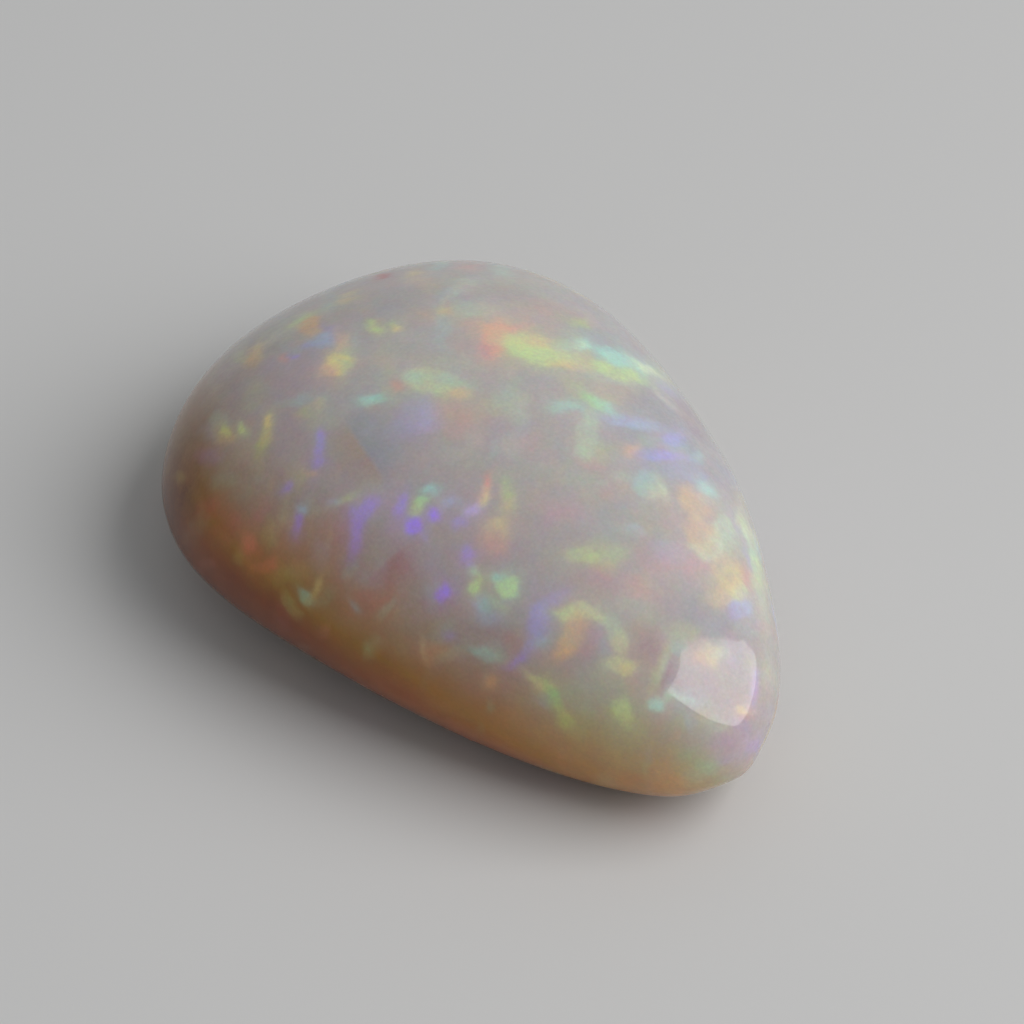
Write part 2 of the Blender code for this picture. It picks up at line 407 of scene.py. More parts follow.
# Flashes of colour, in the same terms as the patches
FLASHES = (
    # Wide end, far side
    (-6.35, 8.2, 1.6, 0.45, 20, "pale green to gold", 0.5),
    (-7.35, 7.32, 0.85, 0.68, -10, "orange", 0.95),
    (-7.8, 7.55, 0.9, 0.26, 25, "lime", 0.6),
    (-6.9, 6.72, 1.1, 0.48, 12, "sky", 0.65),
    (-7.55, 6.5, 0.45, 0.3, 0, "violet", 0.25),
    (-6.7, 7.2, 0.5, 0.35, 0, "lavender", 0.5),
    (-6.3, 6.65, 0.75, 0.5, 70, "light orange", 0.55),
    (-6.6, 5.72, 0.95, 0.62, 35, "light orange to bright gold", 0.95),
    (-6.15, 6.05, 0.7, 0.3, 80, "pale lime", 0.9),
    (-7.05, 4.35, 0.4, 0.28, 80, "gold", 0.4),
    (-6.2, 6.15, 0.45, 0.18, -10, "bright gold", 0.6),
    (-9.5, 6.15, 1.05, 0.48, 60, "orange to gold", 0.9),
    (-10.0, 6.1, 0.6, 0.4, 0, "lime", 0.35),
    (-8.35, 6.05, 0.25, 0.25, 0, "coral", 0.5),
    (-8.05, 6.12, 0.28, 0.2, 0, "violet", 0.5),
    (-4.9, 7.2, 0.75, 0.27, -15, "lime", 0.65),
    (-4.85, 7.2, 0.4, 0.2, 0, "yellow", 0.3),
    (-4.15, 7.3, 0.4, 0.22, 0, "lime", 0.35),
    (-3.95, 7.1, 0.4, 0.3, 0, "bright gold", 0.6),
    (-5.0, 4.4, 0.95, 0.3, 8, "aqua to teal", 0.75),
    (-10.75, 3.25, 0.42, 0.36, 0, "lime", 1.0),
    (-10.75, 3.32, 0.34, 0.3, 40, "yellow", 0.8),
    (-10.0, 3.3, 0.5, 0.3, 105, "mint", 0.8),
    (-10.0, 3.3, 0.4, 0.22, 105, "yellow", 0.75),
    (-10.6, 3.0, 0.8, 0.35, 0, "gold", 0.35),
    (-9.1, 3.05, 1.2, 0.35, 78, "olive to gold", 0.8),
    (-9.0, 3.5, 0.35, 0.25, 70, "bright gold", 0.7),
    (-7.0, 2.75, 1.3, 0.4, 82, "violet", 0.5),
    (-7.1, 2.15, 0.5, 0.3, 0, "violet", 0.3),
    (-7.35, 1.7, 0.5, 0.3, 0, "orange", 0.4),
    (-8.3, 1.1, 0.45, 0.25, 60, "violet", 0.7),
    (-7.8, -0.2, 0.8, 0.35, 70, "violet", 1.0),
    (-7.6, 0.3, 0.35, 0.25, 0, "sky", 0.9),
    (-5.95, 0.65, 0.9, 0.25, 28, "lime", 0.55),
    (-6.4, 0.5, 0.4, 0.3, 0, "blue", 0.35),
    # Low side of the wide end
    (-9.65, -1.05, 0.8, 0.5, -60, "coral", 0.6),
    (-9.05, -1.85, 0.9, 0.5, 20, "coral", 0.5),
    (-7.6, -3.1, 0.5, 0.45, 0, "ice blue", 1.0),
    (-7.6, -3.05, 0.3, 0.3, 0, "ice blue", 0.9),
    (-7.2, -2.75, 0.9, 0.25, 55, "pale lime", 0.9),
    (-8.35, -3.35, 0.65, 0.22, -60, "olive to green", 0.55),
    (-8.05, -3.75, 0.55, 0.22, -50, "olive", 0.6),
    (-5.5, -3.4, 0.5, 0.25, -50, "sky", 0.6),
    # Middle of the face
    (-5.3, 0.2, 1.2, 0.5, 48, "violet", 0.8),
    (-5.72, -0.75, 1.7, 0.4, 86, "violet", 0.65),
    (-5.05, 0.45, 0.6, 0.45, 30, "violet", 0.2),
    (-3.9, 0.5, 0.8, 0.4, 75, "violet", 0.8),
    (-3.15, 0.4, 0.75, 0.42, 50, "olive to green", 1.0),
    (-3.4, 0.1, 0.35, 0.2, 0, "olive", 0.6),
    (-3.1, 0.45, 0.4, 0.25, 50, "bright green", 0.65),
    (-3.45, -0.35, 0.65, 0.6, 0, "bright violet", 1.0),
    (-3.0, -0.85, 0.4, 0.2, -60, "lavender", 0.5),
    (-2.75, 1.0, 0.5, 0.35, 0, "teal", 0.75),
    (-2.5, 0.05, 0.45, 0.35, 0, "bright violet", 0.9),
    (-2.05, 0.5, 0.5, 0.35, 0, "blue", 0.5),
    (-0.65, 1.0, 1.0, 0.32, 62, "light orange to coral", 0.6),
    (-1.15, 0.2, 0.6, 0.4, 25, "pale violet", 0.9),
    (-0.75, 0.6, 0.5, 0.24, 55, "bright gold", 0.35),
    (-1.5, -0.3, 0.5, 0.35, 0, "violet", 0.35),
    (0.2, 0.85, 1.1, 0.5, 80, "gold to olive", 0.4),
    (-0.15, -0.85, 0.9, 0.8, 80, "salmon", 0.2),
    (-0.1, -0.3, 0.7, 0.5, 0, "gold", 0.3),
    (-1.35, -1.55, 0.5, 0.4, 0, "violet", 0.5),
    (-1.3, -2.0, 0.35, 0.3, 0, "violet", 0.35),
    (-1.2, -2.3, 0.45, 0.35, 0, "mint", 0.9),
    (-2.4, -3.0, 0.75, 0.6, 40, "bright violet", 0.9),
    (-1.1, -2.8, 0.75, 0.4, 55, "lime", 1.0),
    (-1.2, -2.85, 0.45, 0.28, 55, "bright green", 0.5),
    (0.25, -2.75, 0.72, 0.66, 0, "bright green", 0.9),
    (-0.05, -2.35, 0.9, 0.45, 25, "pale green", 0.5),
    (0.25, -2.8, 0.4, 0.4, 0, "bright green", 0.6),
    (-0.05, -2.4, 0.4, 0.3, 0, "teal", 0.6),
    (-0.2, -3.4, 0.7, 0.35, -45, "pale green", 0.6),
    (1.3, -3.9, 1.2, 0.6, 80, "periwinkle", 0.75),
    (1.1, -5.0, 1.4, 0.55, 60, "periwinkle", 0.5),
    (1.5, -4.8, 0.5, 0.4, 0, "teal", 0.25),
    (0.5, -5.6, 0.8, 0.35, 30, "violet", 0.7),
    (-3.0, -5.1, 1.0, 0.22, -80, "cream", 0.35),
    (-2.1, -4.65, 0.5, 0.4, 0, "violet", 0.4),
    (-0.65, -5.3, 1.1, 0.5, -15, "teal", 0.6),
    (-0.4, -6.35, 0.5, 0.4, 0, "orange", 0.5),
    (3.1, -1.55, 1.1, 0.5, -2, "lime", 0.55),
    # Towards the narrow end, near side
    (2.8, -3.6, 1.4, 0.6, 5, "pale lime", 0.95),
    (2.7, -3.65, 1.0, 0.4, 8, "bright green", 0.3),
    (3.6, -3.85, 1.3, 0.4, -40, "pale lime", 0.65),
    (4.3, -4.6, 1.5, 0.8, -72, "pale green to pale lime", 0.5),
    (2.6, -4.6, 2.1, 0.8, 62, "orange", 0.6),
    (4.5, -5.8, 1.3, 0.65, -5, "pale lime to lime", 0.7),
    (4.7, -5.9, 0.6, 0.35, 0, "gold", 0.4),
    (1.4, -6.35, 0.9, 0.35, -40, "pale lime", 0.85),
    (1.75, -6.55, 0.4, 0.32, 0, "light orange", 0.8),
    (1.8, -7.1, 0.8, 0.5, 0, "blue", 0.35),
    (2.15, -7.2, 1.6, 0.4, -62, "green to lime", 0.9),
    (2.45, -7.85, 0.6, 0.55, 0, "olive", 0.8),
    (4.7, -7.55, 1.2, 0.55, -75, "lime", 1.0),
    (5.9, -7.25, 0.65, 0.58, 0, "aqua", 0.72),
    (6.4, -6.9, 0.5, 0.4, 0, "mint", 0.6),
    (7.1, -7.1, 0.8, 0.4, -20, "mint to cyan", 0.25),
    (7.9, -5.35, 1.0, 0.8, 0, "peach to gold", 0.3),
    (8.45, -5.3, 0.6, 0.4, 0, "mint", 0.3),
    (9.25, -7.3, 0.5, 0.4, 0, "gold", 0.6),
    (9.2, -7.65, 0.5, 0.35, 0, "coral", 0.2),
    (9.6, -6.6, 1.2, 0.3, 80, "pale violet", 0.55),
    (7.7, -7.7, 0.8, 0.5, 0, "gold to orange", 0.1),
    (8.2, -8.0, 0.9, 0.5, 0, "pale green", 0.3),
    (8.5, -9.3, 0.5, 0.4, 0, "lavender", 0.35),
    (9.7, -8.75, 0.8, 0.5, 0, "lavender", 0.4),
    # Far side, from the narrow end back
    (7.3, 0.5, 1.4, 1.0, -30, "orange to peach", 0.5),
    (7.35, -0.25, 0.8, 0.6, 0, "peach", 0.6),
    (7.8, -1.0, 1.6, 1.2, -60, "peach to cream", 0.85),
    (8.6, -2.2, 1.6, 1.1, -60, "peach to gold", 0.6),
    (7.0, 1.6, 1.7, 0.6, -10, "lavender", 0.3),
    (8.9, -2.95, 1.0, 0.6, 0, "gold to pale lime", 0.65),
    (8.3, -3.2, 0.9, 0.8, 0, "peach", 0.6),
    (9.3, -2.4, 0.8, 0.35, -70, "pink", 0.35),
    (8.45, -0.7, 1.2, 0.8, -60, "mint", 0.4),
    (7.8, 1.0, 0.9, 0.38, -38, "aqua", 0.48),
    (5.6, 1.2, 1.2, 0.9, -30, "cyan to cream", 0.38),
    (6.1, 0.9, 0.8, 0.2, -60, "cream", 0.4),
    (5.0, 2.4, 0.5, 0.4, 0, "orange", 0.75),
    (6.0, 2.25, 1.3, 0.35, -5, "periwinkle", 0.65),
    (6.9, 2.2, 0.9, 0.3, 0, "lavender", 0.5),
    (7.5, 2.25, 0.5, 0.3, 0, "teal", 0.3),
    (6.5, 3.0, 0.8, 0.5, 0, "periwinkle", 0.65),
    (4.9, 3.65, 2.2, 0.5, -8, "periwinkle to blue", 0.45),
    (3.7, 4.3, 1.3, 0.38, -30, "green to teal", 0.65),
    (2.5, 4.25, 1.1, 0.32, -10, "teal", 0.4),
    (3.3, 3.2, 1.9, 0.75, 75, "pale green", 0.5),
    (3.0, 2.4, 0.6, 0.4, 0, "pale green", 0.5),
    (9.1, -3.72, 1.15, 0.85, 20, "lavender to blue", 0.6),
    (9.4, -0.5, 1.2, 0.35, -65, "pale lime", 0.65),
    (9.75, -1.7, 1.8, 0.35, -72, "mint to pale lime", 0.6),
    (10.05, -3.2, 1.8, 0.4, -82, "pale green to cream", 0.3),
    (9.4, -1.6, 1.0, 0.2, -70, "lavender", 0.4),
    # Top of the face
    (-0.15, 6.85, 1.35, 1.1, 20, "coral", 0.95),
    (-0.05, 6.95, 0.9, 0.5, 10, "light orange", 0.35),
    (-0.6, 6.4, 0.6, 0.5, 0, "pink to coral", 0.7),
    (0.0, 7.25, 1.2, 0.3, 0, "coral", 0.7),
    (0.75, 6.6, 1.5, 0.85, -20, "pale lime to lime", 0.9),
    (0.5, 6.75, 0.9, 0.5, -20, "bright gold", 0.3),
    (1.4, 6.25, 2.6, 0.8, -14, "lime", 0.6),
    (2.4, 6.0, 1.6, 0.55, -12, "lime to pale lime", 0.6),
    (1.35, 6.75, 1.2, 0.4, -12, "peach to gold", 0.6),
    (2.3, 6.55, 0.8, 0.5, 0, "pale green", 0.6),
    (3.05, 6.5, 0.6, 0.45, 0, "mint to aqua", 0.9),
    (3.1, 6.5, 0.35, 0.25, 0, "spark", 0.3),
    (2.4, 5.75, 1.0, 0.25, -5, "orange", 0.35),
    (4.5, 6.05, 2.0, 0.55, -25, "cyan", 0.85),
    (5.3, 5.7, 1.2, 0.2, -28, "mint", 0.5),
    (5.5, 5.7, 1.0, 0.15, -30, "spark", 0.4),
    (3.45, 5.9, 1.0, 0.4, -12, "orange to peach", 0.35),
    (4.4, 5.5, 1.8, 0.5, -18, "lime", 0.8),
    (2.8, 7.35, 0.8, 0.45, 0, "olive", 0.3),
    (6.3, 4.45, 1.2, 0.2, -38, "cream", 0.5),
    (6.3, 4.9, 0.8, 0.3, -38, "lavender", 0.3),
    (-2.5, 5.15, 2.6, 1.05, -8, "pale lime to pale green", 0.7),
    (-2.3, 4.75, 1.5, 0.45, -15, "pale lime", 0.5),
    (-1.5, 4.7, 0.9, 0.4, 20, "orange to peach", 0.6),
    (-3.4, 5.3, 0.6, 0.4, 0, "mint", 0.65),
    (-4.1, 5.0, 0.45, 0.35, 0, "salmon", 0.9),
    (-2.1, 7.8, 0.6, 0.5, 0, "gold to orange", 0.5),
    (-2.9, 7.7, 0.6, 0.4, 0, "peach", 0.4),
    (-3.4, 9.3, 0.6, 0.4, 0, "gold", 0.4),
    (-4.6, 9.3, 0.6, 0.35, 0, "brick", 0.9),
    (-2.5, 9.6, 0.5, 0.3, 0, "teal", 0.4),
    (0.0, 9.45, 0.7, 0.4, 0, "mint", 0.4),
    (-2.1, 8.35, 0.9, 0.2, 35, "cream", 0.3),
    (-1.6, 8.75, 0.8, 0.18, 25, "cream", 0.3),
    (-1.3, 9.55, 1.0, 0.35, 0, "salmon", 0.5),
)

# Veils inside the stone, with one sharp straight side and one that fades away
VEILS = (
    (-5.35, 2.6, 3.3, 2.2, -56, "slate", 0.5),
    (-5.35, 2.6, 3.1, 1.8, 124, "tan", 0.5),
    (-4.55, -1.85, 2.0, 1.3, 222, "maroon", 0.45),
    (-4.55, -1.85, 2.0, 0.9, 42, "slate", 0.2),
)
# Where a veil's sharp side rises and where its ends fade, as shares of its size
VEIL_EDGE = (-0.03, 0.05)
VEIL_ENDS = (0.5, 1.1)

# How square an oval patch is, where 2 is an ellipse, and how far past its ends its points
# are looked for, in millimetres
PATCH_SQUARENESS = 2.3
PATCH_MARGIN = 0.4
# A patch of two colours changes between them within this share of its half length on each
# side of its middle, and the grain shifts the change by this much
COLOUR_CHANGE = 0.7
CHANGE_GRAIN = 1.5
# Blur of a flash's edge in millimetres, and of the softer patches as a share of their half width
FLASH_EDGE_BLUR = 0.15
FLECK_BLUR = 0.6
HAZE_BLUR = 0.8
GLOW_BLUR = 0.9
# Each flash has a faint wider glow around it
GLOW_REACH = 1.7
GLOW_STRENGTH = 0.3
# Uneven edges: size of the ripples, their height in millimetres, and a seed
FLASH_RIPPLES = (
    (1.2 * MM, 0.16, 21),
    (0.5 * MM, 0.12, 31),
    (0.25 * MM, 0.05, 36),
)
# Grain in the cover of the fire: strength, size and a seed
FIRE_GRAINS = (
    (0.2, 0.3 * MM, 41),
    (0.25, 0.7 * MM, 42),
)
# How squarely the stone faces the eye where the face's own fire begins and is full, and
# where the scattered fire of the hidden sides is full and ends
SEEN_RANGE = (-0.02, 0.1)
HIDDEN_RANGE = (0.0, 0.3)
# A scattered flash has its middle where the scattered fire is stronger than this
MOSTLY_HIDDEN = 0.5
# Stands in for no cover at all where one cover is shared out over another
SMALLEST_COVER = 1e-6

# Fire on the hidden sides: how many, shortest and longest in millimetres, weakest and strongest
SCATTERS = (
    (70, 2.0, 5.0, 0.12, 0.35),
    (190, 0.5, 2.4, 0.3, 0.9),
    (220, 0.3, 0.9, 0.1, 0.6),
)
SCATTER_SEED = 5
SCATTER_WIDTH_SHARE = (0.3, 0.7)
# A scattered flash and its glow are full and end at these shares of its half size
SCATTER_CORE = (0.6, 1.4)
SCATTER_GLOW = (0.4, 2.2)
TWO_COLOUR_CHANCE = 0.4
# Colours that the stone shows in a few places only, and the colours of painted shade and painted light,
# so none is scattered
RARE_COLOURS = (
    "maroon",
    "tan",
    "slate",
    "brick",
    "mauve",
    "shade honey",
    "shade umber",
    "shade bronze",
    "spark",
    "painted shade milk",
    "painted light milk",
)

# Faint flecks on the face: how many, where they lie, length, width as a share of the length,
# strength, and how far they turn from the run of the flashes, in millimetres and degrees
FLECK_COUNT = 260
FLECK_SEED = 3
FLECK_RIGHT = (-12.5, 10.5)
FLECK_UP = (-10.5, 9.5)
FLECK_LENGTH = (0.4, 1.5)
FLECK_WIDTH_SHARE = (0.35, 0.8)
FLECK_STRENGTH = (0.08, 0.3)
FLECK_TURN_SPREAD = 22
FLECK_COLOURS = (
    "pink",
    "mint",
    "lavender",
    "peach",
    "pale green",
    "blue",
    "salmon",
    "cream",
    "olive",
    "teal",
)
# The flashes run one way past a slanting line on the far side of the face, and another way
# before it
FAR_SIDE_FROM = 3
FAR_SIDE_SLANT = 0.6
FAR_SIDE_RUN = -28
NEAR_SIDE_RUN = 65


def smooth_step(low, high, values):
    """Rises smoothly from 0 at the low value to 1 at the high one."""
    share = np.clip((values - low) / (high - low), 0, 1)
    return share * share * (3 - 2 * share)


def over_body(name):
    """A colour of the palette as a multiple of the milky body's colour."""
    return np.array(linear(PALETTE[name])[:3]) / np.array(linear(MILKY_BODY)[:3])


class Coat:
    """Colours laid on the stone's points, each layer over the last."""

    def __init__(self, count):
        """A clear coat for the given number of points."""
        self.colour = np.ones((count, 3))
        self.cover = np.zeros(count)

    def lay(self, where, cover, colour):
        """Lays a colour over the points named, as thick as the cover."""
        below = self.cover[where]
        total = cover + below * (1 - cover)
        share = (cover / np.maximum(total, SMALLEST_COVER))[:, None]
        self.colour[where] = colour * share + self.colour[where] * (1 - share)
        self.cover[where] = total


def face_places(points):
    """Right and up on the stone's face in millimetres, as the eye sees them."""
    right, up, towards_eye = face_axes()
    offset = points - FACE_CENTRE
    scale = EYE_DISTANCE / (EYE_DISTANCE - offset @ towards_eye) / MM
    return np.stack((offset @ right * scale, offset @ up * scale), axis=1)


def rippled(places, points):
    """The places moved a little, so that the edges of the flashes run unevenly."""
    places = places.copy()
    for size, height, seed in FLASH_RIPPLES:
        for axis in range(places.shape[1]):
            places[:, axis] += height * soft_noise(points, size, seed + axis)
    return places


def turned(offset, turn):
    """The offsets along and across a direction turned by the given degrees."""
    cosine = math.cos(math.radians(turn))
    sine = math.sin(math.radians(turn))
    along = offset[:, 0] * cosine + offset[:, 1] * sine
    return along, offset[:, 1] * cosine - offset[:, 0] * sine


def colour_along(colours, share):
    """Colour that changes from the first named one to the last over the share."""
    names = colours.split(" to ")
    return over_body(names[0]) + share[:, None] * (over_body(names[-1]) - over_body(names[0]))


def lay_patch(coat, patch, places, seen, grain, blur):
    """Lays one oval patch of colour, with an edge blur as a share of its half width."""
    right, up, length, width, turn, colours, strength = patch
    offset = places - (right, up)
    near = np.flatnonzero(np.hypot(*offset.T) < length * (1 + blur) / 2 + PATCH_MARGIN)
    along, across = turned(offset[near], turn)
    along /= length / 2
    across /= width / 2
    n = PATCH_SQUARENESS
    reach = (np.abs(along) ** n + np.abs(across) ** n) ** (1 / n)
    cover = strength * seen[near] * (1 - smooth_step(1 - blur, 1 + blur, reach))
    cover = np.clip(cover * (1 + grain[near]), 0, 1)
    change = smooth_step(-COLOUR_CHANGE, COLOUR_CHANGE, along + CHANGE_GRAIN * grain[near])
    coat.lay(near, cover, colour_along(colours, change))


def lay_flash(coat, flash, places, seen, grain):
    """Lays a flash: a crisp patch with a faint glow around it."""
    right, up, length, width, turn, colours, strength = flash
    glow_size = (length * GLOW_REACH, width * GLOW_REACH)
    glow = (right, up, *glow_size, turn, colours, strength * GLOW_STRENGTH)
    lay_patch(coat, glow, places, seen, grain, GLOW_BLUR)
    lay_patch(coat, flash, places, seen, grain, min(2 * FLASH_EDGE_BLUR / width, GLOW_BLUR))


def lay_veils(coat, places, seen):
    """Lays the veils, each sharp on one side and fading away on the other."""
    every_point = np.arange(len(places))
    for right, up, length, width, turn, colour, strength in VEILS:
        along, across = turned(places - (right, up), turn)
        along /= length / 2
        across /= width
        cover = smooth_step(*VEIL_EDGE, across) * (1 - smooth_step(0, 1, across))
        cover *= 1 - smooth_step(*VEIL_ENDS, np.abs(along))
        coat.lay(every_point, strength * seen * cover, over_body(colour))


def scatter_flecks(coat, places, seen, grain):
    """Scatters faint flecks over the face, along the run of the bigger flashes."""
    chance = np.random.default_rng(FLECK_SEED)
    for _ in range(FLECK_COUNT):
        right = chance.uniform(*FLECK_RIGHT)
        up = chance.uniform(*FLECK_UP)
        on_far_side = right + FAR_SIDE_SLANT * up > FAR_SIDE_FROM
        run = FAR_SIDE_RUN if on_far_side else NEAR_SIDE_RUN
        length = chance.uniform(*FLECK_LENGTH)
        width = length * chance.uniform(*FLECK_WIDTH_SHARE)
        turn = run + chance.normal(0, FLECK_TURN_SPREAD)
        colour = chance.choice(FLECK_COLOURS)
        strength = chance.uniform(*FLECK_STRENGTH)
        fleck = (right, up, length, width, turn, colour, strength)
        lay_patch(coat, fleck, places, seen, grain, FLECK_BLUR)


def scatter_flashes(coat, points, normals, hidden, grain):
    """Scatters fire over the sides that the face does not show, the widest patches first."""
    chance = np.random.default_rng(SCATTER_SEED)
    names = [name for name in PALETTE if name not in RARE_COLOURS]
    candidates = np.flatnonzero(hidden > MOSTLY_HIDDEN)
    places = rippled(points / MM, points)
    for count, shortest, longest, weakest, strongest in SCATTERS:
        for _ in range(count):
            centre = chance.choice(candidates)
            length = chance.uniform(shortest, longest)
            width = length * chance.uniform(*SCATTER_WIDTH_SHARE)
            side = np.cross(normals[centre], chance.normal(size=3))
            side /= np.linalg.norm(side)
            offset = places - places[centre]
            along = offset @ side / (length / 2)
            across = offset @ np.cross(normals[centre], side) / (width / 2)
            depth = offset @ normals[centre] / (length / 2)
            reach = np.sqrt(along ** 2 + across ** 2 + depth ** 2)
            near = np.flatnonzero(reach < SCATTER_GLOW[1])
            core = 1 - smooth_step(*SCATTER_CORE, reach[near])
            glow = 1 - smooth_step(*SCATTER_GLOW, reach[near])
            cover = chance.uniform(weakest, strongest) * hidden[near]
            cover *= np.maximum(core, GLOW_STRENGTH * glow)
            cover = np.clip(cover * (1 + grain[near]), 0, 1)
            first, last = chance.choice(names, size=2)
            colours = first + " to " + last if chance.random() < TWO_COLOUR_CHANCE else first
            change = smooth_step(-COLOUR_CHANGE, COLOUR_CHANGE, along[near])
            coat.lay(near, cover, colour_along(colours, change))


def paint_fire(mesh, points):
    """Paints the play of colour into the mesh, as colour and cover at each point."""
    normals = np.empty(len(points) * 3)
    mesh.vertex_normals.foreach_get("vector", normals)
    normals = normals.reshape(-1, 3)
    facing_share = normals @ face_axes()[2]
    seen = smooth_step(*SEEN_RANGE, facing_share)
    hidden = 1 - smooth_step(*HIDDEN_RANGE, facing_share)
    grain = sum(strength * soft_noise(points, size, seed) for strength, size, seed in FIRE_GRAINS)
    straight_places = face_places(points)
    places = rippled(straight_places, points)
    coat = Coat(len(points))
    lay_veils(coat, straight_places, seen)
    for haze in HAZES:
        lay_patch(coat, haze, places, seen, grain, HAZE_BLUR)
    scatter_flecks(coat, places, seen, grain)
    for flash in FLASHES:
        lay_flash(coat, flash, places, seen, grain)
    scatter_flashes(coat, points, normals, hidden, grain)
    fire = mesh.attributes.new("fire", "FLOAT_COLOR", "POINT")
    fire.data.foreach_set("color", np.column_stack((coat.colour, coat.cover)).ravel())


# The body's colour from the low side up, by the distance up and back across the stone. Low down it is
# painted shade: the milk darkens to amber and brown on the side turned away from the window, as only
# light that has passed through the stone comes out there
BODY_AND_SHADE_SLOPE = (0.0, 0.6, 0.8)
# The painted amber shade stands higher at the wide end, which lies farther from the window, and lower
# at the narrow one, by this much at the ends, and the shift grows by this power towards them
SHADE_END_SHIFT = 0.6 * MM
SHADE_END_POWER = 3
# The colours drift up and down in lobes of this size, by this height in all
DRIFT_SIZE = 3.5 * MM
DRIFT_HEIGHT = 1.2 * MM
BODY_AND_SHADE_FROM = -6.5 * MM
BODY_AND_SHADE_TO = 10.5 * MM
# From dark amber to milk: the stops below about 3 mm are painted shade, amber with light that has
# passed through the stone
BODY_AND_SHADE_COLOURS = (
    (-6.0 * MM, "#4c2404"),
    (-4.5 * MM, "#6a3406"),
    (-3.0 * MM, "#833f08"),
    (-2.0 * MM, "#904c10"),
    (-1.0 * MM, "#a37129"),
    (0.0 * MM, "#ae855e"),
    (1.0 * MM, "#b49781"),
    (2.0 * MM, "#b9a498"),
    (3.2 * MM, "#bcadaa"),
    (5.0 * MM, "#bfb4b2"),
    (8.0 * MM, "#c4bcb8"),
    (10.0 * MM, "#cac2be"),
)
# Pink, green and blue clouds in the milk, from wide to fine: size and strength
CLOUDS = (
    (2.2 * MM, 0.2),
    (0.7 * MM, 0.16),
    (0.25 * MM, 0.12),
    (0.09 * MM, 0.16),
)
GRAIN_SIZE = 0.16 * MM
GRAIN_STRENGTH = 0.23

# How far light sinks into the milk, and the shares of that for red, green and blue
MILK_DEPTH = 1.5 * MM
MILK_DEPTH_SHARES = (1.0, 0.75, 0.55)
OPAL_IOR = 1.45

# Fine mottle in the flashes, and how much of the milky body shows in them over the painted amber shade
MOTTLE_SIZE = 0.14 * MM
MOTTLE_STRENGTH = 0.4
FIRE_MILK = 0.2

# Polish: size of the patches of uneven gloss, lowest and highest roughness, and the size
# and depth of the slight waves
GLOSS_SIZE = 0.6 * MM
LOWEST_ROUGHNESS = 0.045
HIGHEST_ROUGHNESS = 0.085
# The middle of the noise's range, where nearly all of its values lie
NOISE_LOW = 0.3
NOISE_HIGH = 0.7
WAVE_SIZE = 0.9 * MM
WAVE_DEPTH = 0.007 * MM

# Sockets of a node that mixes two colours, which share their names with other kinds of value
MIX_SHARE = 0
MIX_FIRST = 6
MIX_LAST = 7
MIX_RESULT = 2


def colour_ramp(tree, share, stops):
    """Colours that change with the share, from stops of a position and a hex colour."""
    ramp = new_node(tree, "ShaderNodeValToRGB", {"Fac": share})
    elements = ramp.color_ramp.elements
    while len(elements) < len(stops):
        elements.new(0.5)
    for element, (position, colour) in zip(elements, stops):
        element.position = position
        element.color = linear(colour)
    return ramp.outputs["Color"]


def add_body_and_shade_colour(tree, place):
    """Painted amber shade on the low side, mauve milk over the face, greener milk at the top."""
    slope = new_node(tree, "ShaderNodeVectorMath", {0: place}, operation="DOT_PRODUCT")
    slope.inputs[1].default_value = BODY_AND_SHADE_SLOPE
    drift = new_node(tree, "ShaderNodeTexNoise", {"Vector": place}, Scale=1 / DRIFT_SIZE, Detail=2)
    drift_height = new_node(tree, "ShaderNodeMath", {0: drift.outputs["Fac"]}, operation="MULTIPLY_ADD")
    drift_height.inputs[1].default_value = DRIFT_HEIGHT
    drift_height.inputs[2].default_value = -DRIFT_HEIGHT / 2
    height = new_node(
        tree,
        "ShaderNodeMath",
        {0: slope.outputs["Value"], 1: drift_height.outputs[0]},
        operation="ADD",
    )
    along = new_node(tree, "ShaderNodeVectorMath", {0: place}, operation="DOT_PRODUCT")
    along.inputs[1].default_value = (1 / HALF_LENGTH, 0, 0)
    end_share = new_node(tree, "ShaderNodeMath", {0: along.outputs["Value"]}, operation="POWER")
    end_share.inputs[1].default_value = SHADE_END_POWER
    shifted = new_node(
        tree,
        "ShaderNodeMath",
        {0: end_share.outputs[0], 2: height.outputs[0]},
        operation="MULTIPLY_ADD",
    )
    shifted.inputs[1].default_value = SHADE_END_SHIFT
    share = new_node(
        tree,
        "ShaderNodeMapRange",
        {"Value": shifted.outputs[0]},
        From_Min=BODY_AND_SHADE_FROM,
        From_Max=BODY_AND_SHADE_TO,
    )
    stops = [((h - BODY_AND_SHADE_FROM) / (BODY_AND_SHADE_TO - BODY_AND_SHADE_FROM), colour) for h, colour in BODY_AND_SHADE_COLOURS]
    return colour_ramp(tree, share.outputs["Result"], stops)


def add_clouds(tree, place, colour, size, strength):
    """Soft pink, green and blue clouds of the given size."""
    cloud = new_node(
        tree,
        "ShaderNodeTexNoise",
        {"Vector": place},
        Scale=1 / size,
        Detail=2.0,
        Roughness=0.55,
    )
    tint = new_node(tree, "ShaderNodeVectorMath", {0: cloud.outputs["Color"]}, operation="MULTIPLY_ADD")
    tint.inputs[1].default_value = (strength,) * 3
    tint.inputs[2].default_value = (1 - strength / 2,) * 3
    tinted = new_node(
        tree,
        "ShaderNodeVectorMath",
        {0: colour, 1: tint.outputs["Vector"]},
        operation="MULTIPLY",
    )
    return tinted.outputs["Vector"]


def add_grain(tree, place, colour, size, strength):
    """Fine light and dark grain of the given size."""
    grain = new_node(
        tree,
        "ShaderNodeTexNoise",
        {"Vector": place},
        Scale=1 / size,
        Detail=2.0,
        Roughness=0.6,
    )
    shade = new_node(
        tree,
        "ShaderNodeMapRange",
        {"Value": grain.outputs["Fac"]},
        To_Min=1 - strength / 2,
        To_Max=1 + strength / 2,
    )
    grained = new_node(
        tree,
        "ShaderNodeVectorMath",
        {0: colour, "Scale": shade.outputs["Result"]},
        operation="SCALE",
    )
    return grained.outputs["Vector"]


